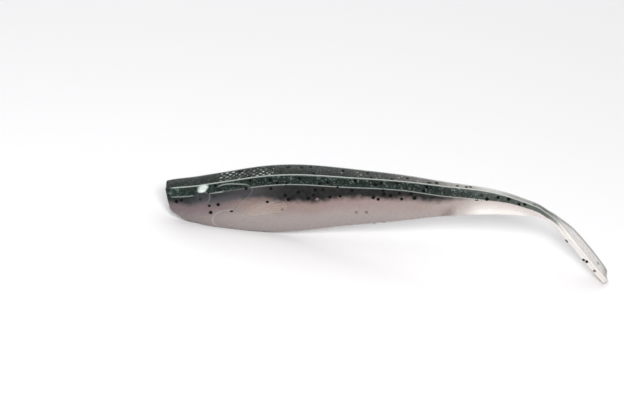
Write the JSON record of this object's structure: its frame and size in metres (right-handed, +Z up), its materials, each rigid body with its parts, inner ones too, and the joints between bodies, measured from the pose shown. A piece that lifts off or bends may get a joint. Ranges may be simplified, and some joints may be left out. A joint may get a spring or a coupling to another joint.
{
  "type": "swimbait",
  "caption": "Slender soft plastic swimbait with a flat ribbed back, deep belly, keeled tail stem and drooping clear paddle tail, moulded in two colours with embedded flakes.",
  "frame": {"origin": "on the floor under the middle of the overall length, in the sagittal plane", "axes": "+X from the nose to the tail, +Z up through the back, Y across the bait"},
  "size_m": [0.1368, 0.012, 0.0247],
  "materials": {
    "green_back": "wet gloss, fine silver glitter in dark translucent green",
    "pearl_belly": "wet gloss, warm pearl with a pink cast",
    "clear_tail": "wet gloss, clear with a faint pink cast",
    "black_flake": "glossy square cut glitter film"
  },
  "bodies": {
    "torso": {"back_torso": "green_back", "belly_torso": "pearl_belly", "flakes_torso": "black_flake", "back_front_bend": "green_back", "belly_front_bend": "pearl_belly"},
    "midbody": {"back_midbody": "green_back", "belly_midbody": "pearl_belly", "flakes_midbody": "black_flake", "back_rear_bend": "green_back", "belly_rear_bend": "pearl_belly"},
    "tail_root": {"back_tail_root": "green_back", "belly_tail_root": "pearl_belly", "flakes_tail_root": "black_flake", "back_stem_bend": "green_back", "belly_stem_bend": "pearl_belly"},
    "stem": {"back_stem": "green_back", "belly_stem": "pearl_belly", "flakes_stem": "black_flake", "clear_wrist_bend": "clear_tail"},
    "paddle": {"clear_paddle": "clear_tail", "flakes_paddle": "black_flake"}
  },
  "joints": [
    {"name": "body_sweep", "type": "hinge", "parent": "torso", "child": "midbody", "pos_m": [-0.0128, 0, 0.015], "axis": [0, 0, 1], "range_deg": [-20, 20], "stiffness_Nm_per_rad": 0.03, "deforming": ["back_front_bend", "belly_front_bend"]},
    {"name": "tail_sweep", "type": "hinge", "parent": "midbody", "child": "tail_root", "pos_m": [0.0092, 0, 0.0184], "axis": [0, 0, 1], "range_deg": [-30, 30], "stiffness_Nm_per_rad": 0.02, "deforming": ["back_rear_bend", "belly_rear_bend"]},
    {"name": "stem_lift", "type": "hinge", "parent": "tail_root", "child": "stem", "pos_m": [0.0302, 0, 0.0205], "axis": [0, 1, 0], "range_deg": [-25, 25], "stiffness_Nm_per_rad": 0.1, "deforming": ["back_stem_bend", "belly_stem_bend"]},
    {"name": "paddle_kick", "type": "hinge", "parent": "stem", "child": "paddle", "pos_m": [0.0492, 0, 0.0173], "axis": [0.5519, 0, 0.8339], "range_deg": [-50, 50], "stiffness_Nm_per_rad": 0.005, "deforming": ["clear_wrist_bend"]}
  ]
}
